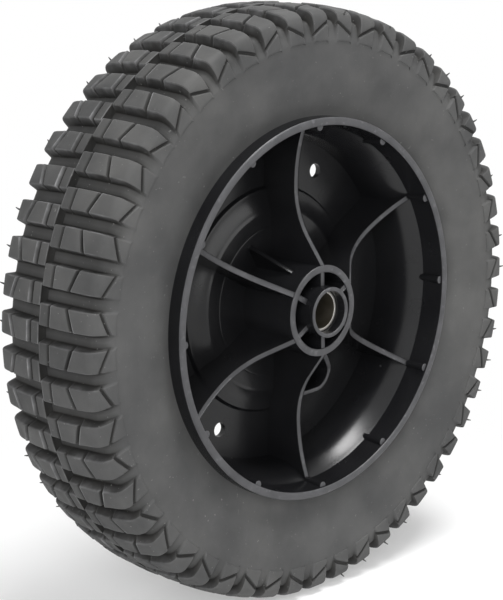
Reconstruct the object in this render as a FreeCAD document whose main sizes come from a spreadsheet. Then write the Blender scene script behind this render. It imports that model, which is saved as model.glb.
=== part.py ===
import FreeCAD, Part
import math
import os
import re
import Sketcher

# Lawn mower wheel: a hollow rubber tyre with two rows of tread bars, on a one-piece moulded rim
# with six curved ribs, and a steel sleeve pressed into the hub for the axle.
# The axle runs along Y through the origin at the middle of the tyre. The ribbed face looks to -Y.
# Angles around the axle are counted from +X towards +Z.

SIZES = {
    # Tyre
    "tyre_diameter": 200,
    "tread_width": 44.8,
    "crown_drop": 2.6,
    "crown_flat": 14,
    "foot_depth": 11.5,
    "foot_flare": 0.5,
    "foot_step": 0.4,
    "shoulder_round": 3,
    "shoulder_run": 2.2,
    "shoulder_fall": 2.6,
    "crown_wall": 6,
    "side_wall": 6.4,
    "bead_width": 6.6,
    "bead_rise": 1,
    "cavity_round": 6,
    "cavity_lead": 9,
    # Tread bars, which stand between grooves
    "bar_count": 52,
    "bar_phase": 0.54,
    "groove_depth": 3.1,
    "groove_width": 5.4,
    "groove_floor": 3.8,
    "groove_fall": 2.2,
    "groove_turn_in": 1.4,
    "groove_round": 4,
    "groove_exit": 0.6,
    # Rim barrel and lips
    "rim_width": 48.3,
    "rim_diameter": 128.2,
    "lip_wall": 2.7,
    "flange_width": 5.4,
    "seat_drop": 1.2,
    "fit_gap": 0.05,
    "ledge_depth": 8.4,
    "barrel_draft": 0.8,
    "outer_draft": 3,
    # Dished disc
    "bowl_round": 32,
    "floor_depth": 26.2,
    "floor_diameter": 111,
    "disc_wall": 2,
    "step_diameter": 78.4,
    "step_height": 1.2,
    "step_slope": 2.2,
    "plateau_rise": 2,
    "plateau_width": 62,
    "plateau_round": 14,
    # Hub
    "hub_length": 54.6,
    "hub_ring_diameter": 30.7,
    "hub_ring_wall": 2.5,
    "hub_ring_drop": 3.4,
    "hub_tube_diameter": 17,
    "tube_chamfer": 0.6,
    "boss_diameter": 22,
    "boss_flare": 2,
    "sleeve_bore": 12,
    "sleeve_wall": 1,
    "sleeve_recess": 4,
    # Ribs. The turn shifts every feature of the dish around the axle
    "rim_turn": 1.3,
    "rib_count": 6,
    "rib_phase": 30,
    "rib_thickness": 1.9,
    "rib_root_drop": 0.5,
    "rib_knee_diameter": 46,
    "rib_knee_drop": 6.4,
    "rib_low_diameter": 79.6,
    "rib_low_drop": 4.1,
    # Half-round pads under the lip
    "pad_count": 12,
    "pad_diameter": 2.8,
    "pad_inset": 0.3,
    "pad_drop": 0.9,
    "pad_length": 11,
    # Holes in the disc
    "hole_count": 2,
    "hole_phase": 60,
    "hole_circle": 95,
    "hole_diameter": 5,
    # Loop wall beside one rib, and the gusset fin opposite
    "loop_phase": 270,
    "loop_thickness": 1.6,
    "loop_root": 14.6,
    "loop_angle": 55,
    "loop_reach": 31.1,
    "loop_round": 4.6,
    "loop_drop": 0.2,
    "fin_phase": 120,
    "fin_thickness": 1.6,
    "fin_drop": 6.5,
    "fin_reach": 8.2,
}

doc = FreeCAD.newDocument("lawn_mower_wheel")
sheet = doc.addObject("Spreadsheet::Sheet", "Sizes")
for row, (word, size) in enumerate(SIZES.items(), start=1):
    sheet.set(f"A{row}", word)
    sheet.set(f"B{row}", str(size))
    sheet.setAlias(f"B{row}", word)
doc.recompute()

ZERO = "0"
LEFT = 1
RIGHT = -1

# Places that several pieces share, as formulas of the sizes
tyre_r = "tyre_diameter / 2"
tread_half = "tread_width / 2"
shoulder_r = f"({tyre_r} - crown_drop)"
foot_r = f"({tyre_r} - foot_depth)"
foot_half = f"({tread_half} + foot_flare)"
crown_run = f"({tread_half} - crown_flat / 2)"
crown_round = f"({crown_run} ^ 2 + crown_drop ^ 2) / (2 * crown_drop)"
lip_r = "rim_diameter / 2"
lip_half = "rim_width / 2"
seat_r = f"({lip_r} - seat_drop)"
seat_half = f"({lip_half} - flange_width)"
ledge_r = f"({lip_r} - lip_wall - barrel_draft)"
ledge_y = f"(ledge_depth - {lip_half})"
floor_y = f"(floor_depth - {lip_half})"
floor_r = "floor_diameter / 2"
step_r = "step_diameter / 2"
plateau_y = f"({floor_y} - step_height - plateau_rise)"
hub_half = "hub_length / 2"
ring_r = "hub_ring_diameter / 2"
ring_y = f"(hub_ring_drop - {hub_half})"
tube_r = "hub_tube_diameter / 2"
sleeve_r = "(sleeve_bore / 2 + sleeve_wall)"
bore_r = f"({sleeve_r} + fit_gap)"
rib_root_y = f"({ring_y} + rib_root_drop)"
rib_knee_r = "rib_knee_diameter / 2"
rib_knee_y = f"({ring_y} + rib_knee_drop)"
rib_low_r = "rib_low_diameter / 2"
rib_low_y = f"({ledge_y} + rib_low_drop)"
rib_knee_run = f"({rib_low_r} - {rib_knee_r})"
rib_knee_rise = f"({rib_low_y} - {rib_knee_y})"
rib_knee_round = f"({rib_knee_run} ^ 2 + {rib_knee_rise} ^ 2) / (2 * {rib_knee_rise})"


def bound(formula):
    """The formula with each size written as its cell of the sheet."""
    words = re.compile(r"[a-z_]+")
    return words.sub(lambda word: f"Sizes.{word[0]}" if word[0] in SIZES else word[0], formula)


def value(formula):
    return float(sheet.evalExpression(bound(formula)))


def bind(thing, name, formula):
    thing.setExpression(name, bound(formula))


def origin_feature(body, role):
    return next(feature for feature in body.Origin.OriginFeatures if feature.Role == role)


def new_sketch(body, name, plane, turn_axis, turn):
    """A sketch on an origin plane, turned around the axle."""
    sketch = body.newObject("Sketcher::SketchObject", name)
    sketch.AttachmentSupport = (origin_feature(body, plane), [""])
    sketch.MapMode = "FlatFace"
    sketch.AttachmentOffset = FreeCAD.Placement(FreeCAD.Vector(), FreeCAD.Rotation(turn_axis, value(turn)))
    bind(sketch, "AttachmentOffset.Rotation.Angle", turn)
    return sketch


def radial_sketch(body, name, turn=ZERO):
    """X runs out from the axle, Y along it."""
    return new_sketch(body, name, "XY_Plane", FreeCAD.Vector(0, -1, 0), turn)


def face_sketch(body, name, turn=ZERO):
    """X runs out from the axle, Y around it."""
    return new_sketch(body, name, "XZ_Plane", FreeCAD.Vector(0, 0, 1), turn)


def constrain(sketch, formula, *constraint):
    index = sketch.addConstraint(Sketcher.Constraint(*constraint, value(formula)))
    bind(sketch, f"Constraints[{index}]", formula)


def fix_point(sketch, edge, end, across, along):
    constrain(sketch, across, "DistanceX", -1, 1, edge, end)
    constrain(sketch, along, "DistanceY", -1, 1, edge, end)


def arc_between(first, second, radius, side):
    """The shorter arc from first to second, its centre to the left or right of the way."""
    chord = second - first
    rise = math.sqrt(max(radius ** 2 - (chord.Length / 2) ** 2, 0))
    normal = FreeCAD.Vector(-chord.y, chord.x, 0).normalize()
    centre = (first + second) / 2 + normal * (rise * side)
    ends = (first, second) if side == LEFT else (second, first)
    angles = [math.atan2(end.y - centre.y, end.x - centre.x) for end in ends]
    return Part.ArcOfCircle(Part.Circle(centre, FreeCAD.Vector(0, 0, 1), radius), *angles)


def draw_outline(sketch, corners):
    """A closed outline. A corner may add the radius and side of the arc that leaves it."""
    places = [FreeCAD.Vector(value(corner[0]), value(corner[1]), 0) for corner in corners]
    ends = []
    for index, corner in enumerate(corners):
        first = places[index]
        second = places[(index + 1) % len(places)]
        if len(corner) == 2:
            sketch.addGeometry(Part.LineSegment(first, second))
            ends.append((1, 2))
        else:
            sketch.addGeometry(arc_between(first, second, value(corner[2]), corner[3]))
            ends.append((1, 2) if corner[3] == LEFT else (2, 1))
    for index, corner in enumerate(corners):
        following = (index + 1) % len(corners)
        joint = ("Coincident", index, ends[index][1], following, ends[following][0])
        sketch.addConstraint(Sketcher.Constraint(*joint))
        fix_point(sketch, index, ends[index][0], corner[0], corner[1])
        if len(corner) > 2:
            constrain(sketch, corner[2], "Radius", index)
    return sketch


def revolve(body, name, sketch, angle="360"):
    feature = body.newObject("PartDesign::Revolution", name)
    feature.Profile = sketch
    feature.ReferenceAxis = (sketch, ["V_Axis"])
    bind(feature, "Angle", angle)
    return feature


def plate(body, name, corners, thickness, turn):
    """A flat plate in a radial plane, its thickness shared to both sides."""
    feature = body.newObject("PartDesign::Pad", name)
    feature.Profile = draw_outline(radial_sketch(body, name + "_outline", turn), corners)
    feature.SideType = "Symmetric"
    bind(feature, "Length", thickness)
    return feature


def around(body, name, feature, count):
    """Copies of a feature, evenly spaced around the axle."""
    pattern = body.newObject("PartDesign::PolarPattern", name)
    pattern.Originals = [feature]
    pattern.Axis = (origin_feature(body, "Y_Axis"), [""])
    pattern.Angle = 360
    bind(pattern, "Occurrences", count)
    body.Tip = pattern
    return pattern


def new_body(name):
    body = doc.addObject("PartDesign::Body", name)
    body.Label = name
    return body


def tyre_half(side):
    """Outer corners of one side of the tyre, from the bead out to the flat of the crown."""
    heel = f"{side} * ({seat_half} - fit_gap)"
    flare = f"foot_flare * shoulder_fall / ({shoulder_r} - {foot_r})"
    crown_end = f"({crown_run} - shoulder_run)"
    crown_height = f"{tyre_r} - {crown_round} + sqrt(({crown_round}) ^ 2 - {crown_end} ^ 2)"
    return [
        (f"{seat_r} + fit_gap", heel),
        (f"{lip_r} + bead_rise", heel),
        (foot_r, f"{side} * ({foot_half} - foot_step)"),
        (foot_r, f"{side} * {foot_half}"),
        (f"{shoulder_r} - shoulder_fall", f"{side} * ({tread_half} + {flare})"),
        (crown_height, f"{side} * (crown_flat / 2 + {crown_end})"),
        (tyre_r, f"{side} * crown_flat / 2"),
    ]


def cavity_half(side):
    """Corners of one side of the hollow, from the open base out to the crown."""
    top = f"({tyre_r} - groove_depth - crown_wall)"
    half = f"({tread_half} - side_wall)"
    return [
        (f"{seat_r} + fit_gap", f"{side} * ({seat_half} - bead_width)"),
        (f"{seat_r} + cavity_lead", f"{side} * {half}"),
        (f"{top} - cavity_round", f"{side} * {half}"),
        (top, f"{side} * ({half} - cavity_round)"),
    ]


def tyre_section(body):
    inner = tyre_half(-1)
    outer = tyre_half(1)[::-1]
    side_rise = f"({foot_r} - {lip_r} - bead_rise)"
    side_run = f"({foot_half} - foot_step - {seat_half} + fit_gap)"
    sidewall_round = f"({side_rise} ^ 2 + {side_run} ^ 2) / (2 * {side_run})"
    inner[1] += (sidewall_round, LEFT)
    inner[-3] += ("shoulder_round", LEFT)
    inner[-2] += (crown_round, LEFT)
    outer[0] += (crown_round, LEFT)
    outer[1] += ("shoulder_round", LEFT)
    outer[4] += (sidewall_round, LEFT)
    hollow_outer = cavity_half(1)
    hollow_inner = cavity_half(-1)[::-1]
    hollow_outer[2] += ("cavity_round", RIGHT)
    hollow_inner[0] += ("cavity_round", RIGHT)
    return draw_outline(radial_sketch(body, "tyre_section"), inner + outer + hollow_outer + hollow_inner)


def groove_route(body, name, side, turn):
    """The groove's floor: along the crown, round the shoulder and out through the sidewall."""
    sketch = radial_sketch(body, name, turn)
    start = (f"{tyre_r} - groove_depth", ZERO)
    corner = (f"{tyre_r} - groove_depth - groove_fall", f"{side} * ({tread_half} - groove_turn_in)")
    finish = (f"{foot_r} - groove_depth", f"{side} * ({foot_half} - foot_step + groove_exit)")
    points = [FreeCAD.Vector(value(x), value(y), 0) for x, y in (start, corner, finish)]
    ways = [(points[0] - points[1]).normalize(), (points[2] - points[1]).normalize()]
    half_turn = ways[0].getAngle(ways[1]) / 2
    run = value("groove_round") / math.tan(half_turn)
    first = points[1] + ways[0] * run
    second = points[1] + ways[1] * run
    turn_side = LEFT if side == 1 else RIGHT
    sketch.addGeometry(Part.LineSegment(points[0], first))
    sketch.addGeometry(arc_between(first, second, value("groove_round"), turn_side))
    sketch.addGeometry(Part.LineSegment(second, points[2]))
    sketch.addGeometry(Part.Point(points[1]), True)
    arc_start, arc_end = (1, 2) if turn_side == LEFT else (2, 1)
    for item in (("Tangent", 0, 2, 1, arc_start), ("Tangent", 1, arc_end, 2, 1),
                 ("PointOnObject", 3, 1, 0), ("PointOnObject", 3, 1, 2)):
        sketch.addConstraint(Sketcher.Constraint(*item))
    fix_point(sketch, 0, 1, *start)
    fix_point(sketch, 2, 2, *finish)
    fix_point(sketch, 3, 1, *corner)
    constrain(sketch, "groove_round", "Radius", 1)
    return sketch


def cut_grooves(body, name, side, turn):
    """One row of grooves with sloping walls, from the middle of the tread past one shoulder."""
    floor = f"{tyre_r} - groove_depth"
    top = f"{tyre_r} + groove_depth"
    spread = "(groove_width - groove_floor)"
    corners = [(floor, "-groove_floor / 2"), (top, f"-groove_floor / 2 - {spread}"),
               (top, f"groove_floor / 2 + {spread}"), (floor, "groove_floor / 2")]
    cut = body.newObject("PartDesign::SubtractivePipe", name)
    cut.Profile = draw_outline(face_sketch(body, name + "_section", turn), corners)
    route = groove_route(body, name + "_route", side, turn)
    doc.recompute()
    cut.Spine = (route, ["Edge1", "Edge2", "Edge3"])
    around(body, name + "_row", cut, "bar_count")


def make_tyre():
    body = new_body("tyre")
    revolve(body, "carcass", tyre_section(body))
    half_pitch = "180 / bar_count"
    cut_grooves(body, "inner_groove", -1, f"bar_phase + {half_pitch}")
    cut_grooves(body, "outer_groove", 1, "bar_phase")
    return body


def rim_section(body):
    """Half section of the rim: barrel, dished disc, hub ring and hub tube."""
    back_y = f"({floor_y} + disc_wall)"
    plateau_back = f"({plateau_y} + disc_wall)"
    plateau_r = "plateau_width / 2"
    boss_r = "boss_diameter / 2"
    chamfer_r = f"{bore_r} + tube_chamfer"
    corners = [
        (lip_r, f"-{lip_half}"),
        (f"{lip_r} - lip_wall", f"-{lip_half}"),
        (ledge_r, ledge_y, "bowl_round", RIGHT),
        (floor_r, floor_y),
        (step_r, floor_y),
        (f"{step_r} - step_slope", f"{floor_y} - step_height", "plateau_round", LEFT),
        (plateau_r, plateau_y),
        (ring_r, plateau_y),
        (ring_r, ring_y),
        (f"{ring_r} - hub_ring_wall", ring_y),
        (f"{ring_r} - hub_ring_wall", plateau_y),
        (tube_r, plateau_y),
        (tube_r, f"-{hub_half}"),
        (chamfer_r, f"-{hub_half}"),
        (bore_r, f"tube_chamfer - {hub_half}"),
        (bore_r, f"{hub_half} - tube_chamfer"),
        (chamfer_r, hub_half),
        (boss_r, hub_half),
        (f"{boss_r} + boss_flare", plateau_back),
        (plateau_r, plateau_back, "plateau_round", RIGHT),
        (f"{step_r} - step_slope", f"{back_y} - step_height"),
        (step_r, back_y),
        (f"{lip_r} - lip_wall - outer_draft", back_y),
        (f"{lip_r} - lip_wall", lip_half),
        (lip_r, lip_half),
        (lip_r, seat_half),
        (seat_r, seat_half),
        (seat_r, f"-{seat_half}"),
        (lip_r, f"-{seat_half}"),
    ]
    return draw_outline(radial_sketch(body, "rim_section"), corners)


def rib_outline():
    """A rib and its web inside the hub ring. The foot runs inside the wall of the disc."""
    end_rise = f"({rib_low_y} - {ledge_y})"
    end_run = f"({ledge_r} - {rib_low_r})"
    foot_y = f"{floor_y} + disc_wall / 2"
    middle_y = f"{plateau_y} + disc_wall / 2"
    tube_middle = f"({tube_r} + {bore_r}) / 2"
    wall_middle = f"({ledge_r} + {seat_r}) / 2"
    return [
        (tube_middle, rib_root_y),
        (ring_r, rib_root_y),
        (rib_knee_r, rib_knee_y, rib_knee_round, RIGHT),
        (rib_low_r, rib_low_y, f"({end_run} ^ 2 + {end_rise} ^ 2) / (2 * {end_rise})", RIGHT),
        (ledge_r, ledge_y),
        (wall_middle, ledge_y),
        (f"{floor_r} + disc_wall / 2", foot_y),
        (f"{step_r} - step_slope / 2", foot_y),
        ("plateau_width / 2", middle_y),
        (tube_middle, middle_y),
    ]


def add_pads(body):
    """Half-round pads that run down the barrel from just under the lip."""
    sketch = face_sketch(body, "pad_outline", "rim_turn")
    centre_r = f"{lip_r} - lip_wall - pad_inset"
    centre = FreeCAD.Vector(value(centre_r), 0, 0)
    sketch.addGeometry(Part.Circle(centre, FreeCAD.Vector(0, 0, 1), value("pad_diameter / 2")))
    fix_point(sketch, 0, 3, centre_r, ZERO)
    constrain(sketch, "pad_diameter", "Diameter", 0)
    bind(sketch, "AttachmentOffset.Base.z", f"{lip_half} - pad_drop")
    pad = body.newObject("PartDesign::Pad", "lip_pad")
    pad.Profile = sketch
    pad.Reversed = True
    bind(pad, "Length", "pad_length")
    around(body, "lip_pads", pad, "pad_count")


def cut_holes(body):
    sketch = face_sketch(body, "hole_outline", "rim_turn + hole_phase")
    centre = FreeCAD.Vector(value("hole_circle / 2"), 0, 0)
    sketch.addGeometry(Part.Circle(centre, FreeCAD.Vector(0, 0, 1), value("hole_diameter / 2")))
    fix_point(sketch, 0, 3, "hole_circle / 2", ZERO)
    constrain(sketch, "hole_diameter", "Diameter", 0)
    hole = body.newObject("PartDesign::Pocket", "disc_hole")
    hole.Profile = sketch
    hole.SideType = "Symmetric"
    hole.Type = "ThroughAll"
    around(body, "disc_holes", hole, "hole_count")


def loop_side(offset):
    """One side of the loop, and its tip's radius: an arm from the rib's root, the tip, a wall to the rib."""
    inside_rib = "rib_thickness / 4"
    cosine = "cos(loop_angle * 1 deg)"
    sine = "sin(loop_angle * 1 deg)"
    root = f"(loop_root - ({offset}) / {sine})"
    reach = f"(loop_reach + {offset})"
    corner = f"(({reach} - {root}) * {sine} / {cosine})"
    tip_round = f"(loop_round + {offset})"
    run = f"({tip_round} / tan((90 - loop_angle) * 1 deg / 2))"
    return [
        (f"{root} + {inside_rib} * {cosine} / {sine}", inside_rib),
        (f"{reach} - {run} * {cosine}", f"{corner} - {run} * {sine}"),
        (reach, f"{corner} - {run}"),
        (reach, inside_rib),
    ], tip_round


def add_loop(body):
    """A wall that leaves the root of one rib, turns round and meets the rib again further out."""
    outer, outer_round = loop_side("loop_thickness / 2")
    inner, inner_round = loop_side("-loop_thickness / 2")
    inner.reverse()
    outer[1] += (outer_round, RIGHT)
    inner[1] += (inner_round, LEFT)
    sketch = draw_outline(face_sketch(body, "loop_outline", "rim_turn + loop_phase"), outer + inner)
    bind(sketch, "AttachmentOffset.Base.z", f"-({rib_root_y} + loop_drop)")
    wall = body.newObject("PartDesign::Pad", "loop_wall")
    wall.Profile = sketch
    wall.Reversed = True
    bind(wall, "Length", f"{plateau_y} + disc_wall / 2 - {rib_root_y} - loop_drop")
    return wall


def trim_loop(body):
    """Brings the top of the loop down to the fall of the ribs."""
    corners = [
        (f"{ring_r} + loop_drop", rib_root_y),
        (rib_knee_r, f"{rib_knee_y} + loop_drop", rib_knee_round, RIGHT),
        (rib_low_r, f"{rib_low_y} + loop_drop"),
        (rib_low_r, rib_root_y),
    ]
    trim = body.newObject("PartDesign::Groove", "loop_trim")
    trim.Profile = draw_outline(radial_sketch(body, "loop_trim_section"), corners)
    trim.ReferenceAxis = (trim.Profile[0], ["V_Axis"])
    trim.Angle = 360
    return trim


def add_fin(body):
    """A thin gusset that leans on the hub ring."""
    foot_y = f"{plateau_y} + disc_wall / 2"
    inside = f"{ring_r} - hub_ring_wall / 2"
    fin = [(inside, f"{ring_y} + fin_drop"), (ring_r, f"{ring_y} + fin_drop"),
           (f"{ring_r} + fin_reach", plateau_y), (f"{ring_r} + fin_reach", foot_y), (inside, foot_y)]
    plate(body, "gusset_fin", fin, "fin_thickness", "rim_turn + fin_phase")


def make_rim():
    body = new_body("wheel_rim")
    revolve(body, "rim_body", rim_section(body))
    add_loop(body)
    trim_loop(body)
    rib = plate(body, "rib", rib_outline(), "rib_thickness", "rim_turn + rib_phase")
    around(body, "ribs", rib, "rib_count")
    add_pads(body)
    cut_holes(body)
    add_fin(body)
    return body


def make_sleeve():
    body = new_body("axle_sleeve")
    half = f"({hub_half} - sleeve_recess)"
    inner_r = "sleeve_bore / 2"
    corners = [(inner_r, f"-{half}"), (sleeve_r, f"-{half}"), (sleeve_r, half), (inner_r, half)]
    revolve(body, "sleeve", draw_outline(radial_sketch(body, "sleeve_section"), corners))
    return body


def check_document(bodies):
    for thing in doc.Objects:
        if "Invalid" in thing.State or "Error" in thing.State:
            raise RuntimeError(f"{thing.Name} failed: {thing.State}")
    for body in bodies:
        if body.Shape.isNull() or not body.Shape.isValid() or len(body.Shape.Solids) != 1:
            raise RuntimeError(f"{body.Label} is not one sound solid")


bodies = [make_tyre(), make_rim(), make_sleeve()]
doc.recompute()
check_document(bodies)
os.makedirs("parts", exist_ok=True)
for body in bodies:
    body.Shape.exportStep(f"parts/{body.Label}.step")
    print(body.Label, "volume", round(body.Shape.Volume), "faces", len(body.Shape.Faces))
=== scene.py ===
import math

import bmesh
import bpy
import numpy as np
from mathutils import Matrix, Vector


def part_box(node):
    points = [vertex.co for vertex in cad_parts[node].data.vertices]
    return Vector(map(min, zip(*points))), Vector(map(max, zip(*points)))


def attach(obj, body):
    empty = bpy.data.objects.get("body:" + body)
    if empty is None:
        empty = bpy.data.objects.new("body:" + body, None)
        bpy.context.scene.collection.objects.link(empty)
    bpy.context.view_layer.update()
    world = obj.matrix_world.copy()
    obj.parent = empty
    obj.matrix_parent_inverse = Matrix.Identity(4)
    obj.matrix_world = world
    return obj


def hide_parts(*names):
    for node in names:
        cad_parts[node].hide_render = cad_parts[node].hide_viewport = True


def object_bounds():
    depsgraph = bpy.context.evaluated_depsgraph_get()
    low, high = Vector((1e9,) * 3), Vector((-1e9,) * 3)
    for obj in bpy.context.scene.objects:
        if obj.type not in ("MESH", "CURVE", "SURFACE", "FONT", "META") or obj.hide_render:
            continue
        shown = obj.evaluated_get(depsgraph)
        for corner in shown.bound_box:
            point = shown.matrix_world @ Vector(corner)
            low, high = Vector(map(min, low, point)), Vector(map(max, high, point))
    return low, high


# Looks of the lawn mower wheel. Its lengths are millimetres until a mesh is made. The studio is in metres.
# A place is given as a radius from the axle and a height s along it, towards the ribbed face (-Y).
# Angles around the axle are in degrees, counted from +X towards +Z.

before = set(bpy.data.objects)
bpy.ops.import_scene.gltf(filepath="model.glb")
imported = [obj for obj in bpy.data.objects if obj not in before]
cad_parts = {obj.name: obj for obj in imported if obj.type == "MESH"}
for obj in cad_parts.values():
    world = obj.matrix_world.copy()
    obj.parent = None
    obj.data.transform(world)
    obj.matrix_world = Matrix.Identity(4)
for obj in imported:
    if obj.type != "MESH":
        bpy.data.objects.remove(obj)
cad_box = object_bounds()
MM = 0.001


def cad_size(node):
    """Largest radius and half length of a CAD node, from its box."""
    low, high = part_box(node)
    return high.z / MM, high.y / MM


TYRE_R, TYRE_HALF = cad_size("tyre")
LIP_R, HUB_HALF = cad_size("wheel_rim")
SLEEVE_R, SLEEVE_HALF = cad_size("axle_sleeve")

# Tyre. SHOULDER_TRIM counts the last points of the crown, which the round shoulder replaces
CROWN_FLAT_HALF = 7.0
CROWN_DROP = 2.6
TREAD_HALF = 22.4
SHOULDER_ROUND = 3.6
SHOULDER_TRIM = 5
FOOT_R = 88.5
FOOT_STEP = 0.4
BEAD_R = 65.1
BEAD_HALF = 18.7
SEAT_R = 62.95
BEAD_WIDTH = 6.6
CAVITY_R = 90.9
CAVITY_HALF = 16.0
CAVITY_ROUND = 6.0
CAVITY_LEAD_R = 71.9

# Tread bars. Their halves, edges and phase are angles, their drops are lengths
BAR_COUNT = 52
HALF_PITCH = 180 / BAR_COUNT
NEAR_PHASE = 0.54
BAR_TOP_HALF = 1.95
BAR_FOOT_HALF = 2.42
EDGE_ROUND = 0.26
BLOCK_DROP = 0.12
INNER_DROP = 0.3
FOOT_DROP = 0.1

# Grooves between the bars. The lead only aims the end of their floor
GROOVE_DEPTH = 3.1
GROOVE_FALL = 2.2
GROOVE_TURN_IN = 1.4
GROOVE_ROUND = 3.6
GROOVE_BLEND = 9.0
GROOVE_LEAD = 2.0

# Notches across the bars, at places along the skin from the middle of the tread or up from its foot
INNER_NOTCH = 4.6
OUTER_NOTCH = 13.7
NOTCH_DEPTH = 1.4
NOTCH_HALF = 0.78
NOTCH_SIDE = 0.34
NOTCH_SLANT = 1.3
NOTCH_NEAR_DROP = 0.15
NOTCH_FAR_DROP = 0.12
NOTCH_FLOOR = 0.9
NOTCH_LANDING = 1.6
FOOT_NOTCH_UP = 4.2
FOOT_NOTCH_DEPTH = 0.9
FOOT_NOTCH_HALF = 0.75
FOOT_NOTCH_SIDE = 0.36
FOOT_NOTCH_SLANT = 1.8

# Rows between the notches, as (place, share of the slant). Those of the foot are counted up from it
INNER_EDGE = 0.35
INNER_ROWS = ((0.7, 0), (1.5, 0), (2.6, 0))
MIDDLE_ROWS = ((6.6, 0), (7.8, 0), (9.4, 0.3), (10.9, 0.65))
OUTER_ROWS = ((15.9, 0.6), (17.2, 0.25))
SHOULDER_ROWS = ((18.6, 0), *((place, 0) for place in np.linspace(19.6, 23.0, 8)), (24.2, 0.4))
FOOT_ROWS = ((1.8, 0.5), (0.9, 0.12), (0.35, 0))

# Shares of the skin's length to each side of a place, between which its direction is taken
SKIN_STEP = 0.002
NIB_SKIN_STEP = 0.01

# Painted highlights along the edges and painted shade on the flanks, in the grooves and notches, as shares.
# Their fades lie between two places along the skin, those of the shade counted up from the foot
INNER_GLINT = 0.8
EDGE_GLINT = 0.6
SHOULDER_GLINT = 0.15
GLINT_FADE = (18, 23)
FLANK_SHADE = (0, 0.85, 1, 0.6, 0.4)
NOTCH_SHADE = 1.6
SHADE_FADE = (6, 0.5)

# Vent nibs left by the mould at the shoulder of some bars
NIB_PLACE = 22.2
NIB_LENGTHS = (1.5, 0, 1.0, 1.4, 0, 1.2, 0.6)
NIB_ROOT = 0.5
NIB_R = 0.34
NIB_LEAN = 0.3
NIB_SIDES = 8

# Rim section
LIP_HALF = 24.15
LIP_WALL = 2.7
BARREL_DRAFT = 0.8
LEDGE_S = 15.75
FLANGE = 5.4
SEAT_DROP = 1.2
FLARE_END = (57.4, 11.05)
FLARE_ROUND = 32.0
NECK_END = (55.8, 5.25)
NECK_ROUND = 14.0
FLOOR_R = 55.5
FLOOR_S = -2.05
DISC_WALL = 2.0
STEP_R = 39.2
STEP_RISE = 1.2
STEP_RUN = 0.9
PLATEAU_R = 31.0
PLATEAU_S = 1.15
PLATEAU_ROUND = 14.0
ROOT_R = 26.0
ROOT_RISE = 0.35
RING_R = 15.35
RING_WALL = 2.5
RING_S = 23.9
TUBE_R = 8.5
BORE_R = 7.05
BOSS_R = 11.0
BOSS_FLARE = 2.0
OUTER_DRAFT = 3.0
SLEEVE_BORE_R = 6.0

# Rounded edges of the rim and sleeve. LOOP_EDGE_BEND is a share of LOOP_EDGE, and EDGE_STEPS counts faces.
# HOLD keeps the shading of a flat free of the bend beside it
LIP_EDGE = 0.8
INSIDE_EDGE = 0.6
RING_EDGE = 0.5
STEP_EDGE = 0.4
TUBE_EDGE = 0.35
FINE_EDGE = 0.3
BACK_EDGE = 1.0
PLATE_EDGE = 0.4
PAD_EDGE = 0.35
LOOP_EDGE = 0.35
LOOP_EDGE_BEND = 0.3
SLEEVE_EDGE = 0.25
EDGE_STEPS = 3
HOLD = 0.5

# Ribs and small features of the dish
RIM_TURN = 1.3
RIB_COUNT = 6
RIB_THICK = 1.9
RIB_ROOT_S = 23.4
RIB_KNEE = (23.0, 17.5)
RIB_LOW = (39.8, 11.65)
RIB_SINK = 0.8
PAD_COUNT = 12
PAD_R = 1.4
PAD_INSET = 0.3
PAD_TOP_S = 23.25
PAD_LENGTH = 11.0
HOLE_PHASE = 60.0
HOLE_CIRCLE_R = 47.5
HOLE_R = 2.5
LOOP_PHASE = 270.0
LOOP_ROOT = 14.6
LOOP_ANGLE = 55.0
LOOP_REACH = 31.1
LOOP_ROUND = 4.6
LOOP_DROP = 0.2
LOOP_ARM_START = 0.02
LOOP_WALL_END = 0.03
FIN_PHASE = 120.0
FIN_S = 17.4
FIN_REACH = 8.2
WALL_THICK = 1.6

# Finish of meshes: the turn, in degrees, over which an edge is shaded as sharp, the share by which a face
# with the second, paler finish of painted highlight looks to the ribbed side, and the steps around round
# pieces
SHARP = 32.0
PLATE_SHARP = 40.0
LOOP_SHARP = 50.0
NIB_SHARP = 60.0
FACING = 0.35
RIM_STEPS = 256
SLEEVE_STEPS = 128
HOLE_STEPS = 48
PAD_STEPS = 28

# Colours, each as a dark and a pale one
RUBBER = ((0.056, 0.0565, 0.057), (0.083, 0.083, 0.0825))
RUBBER_TINT = ((0.92, 0.92, 0.92), (1.02, 1.015, 1.0))
# Painted highlight for the edges of the bars and notches
RUBBER_GLINT = ((0.09, 0.091, 0.094), (0.3, 0.3, 0.305))
RUBBER_DUST = ((0.1, 0.1, 0.098), (0.18, 0.18, 0.175))
# Painted shade for the grooves, flanks, notches and the middle of the tread
PAINTED_GROOVE_SHADE = ((0.012, 0.0118, 0.0114), (0.022, 0.0212, 0.0198))
GLOSS = ((0.0062, 0.0063, 0.007), (0.01, 0.0101, 0.011))
GLOSS_DUST = ((0.02, 0.02, 0.021), (0.05, 0.05, 0.05))
# The duller rim finish, paler than the gloss: the paleness is painted highlight on faces toward the ribbed
# side
DULL_AND_SHEEN = ((0.034, 0.034, 0.037), (0.058, 0.058, 0.062))
DULL_SCUFF = ((0.07, 0.07, 0.074), (0.11, 0.11, 0.115))
BORE_STEEL = ((0.11, 0.096, 0.072), (0.17, 0.155, 0.125))
# A paler copy of the steel, as painted highlight on the sleeve's end on the ribbed side
END_STEEL_GLINT = ((0.45, 0.43, 0.4), (0.6, 0.59, 0.56))
FLOOR_GREY = ((0.93, 0.93, 0.93), (0.96, 0.96, 0.96))

# Studio, with lengths in metres and angles in degrees. The lens and sensor are in Blender's millimetres.
# FLOOR_PALE is the floor's share of white at the wheel, and AMBIENT the strength of the world's light
FLOOR_SIZE = 8
FLOOR_PLAIN = 0.08
FLOOR_WHITE = 0.2
FLOOR_PALE = 0.35
AMBIENT = 0.22
CAMERA_AZIMUTH = -44.42
CAMERA_ELEVATION = 12.57
CAMERA_PLACE = (-0.41553, -0.41405, 0.13067)
CAMERA_LENS = 106.08
CAMERA_SENSOR = 36.0


# Outlines and meshes

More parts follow.
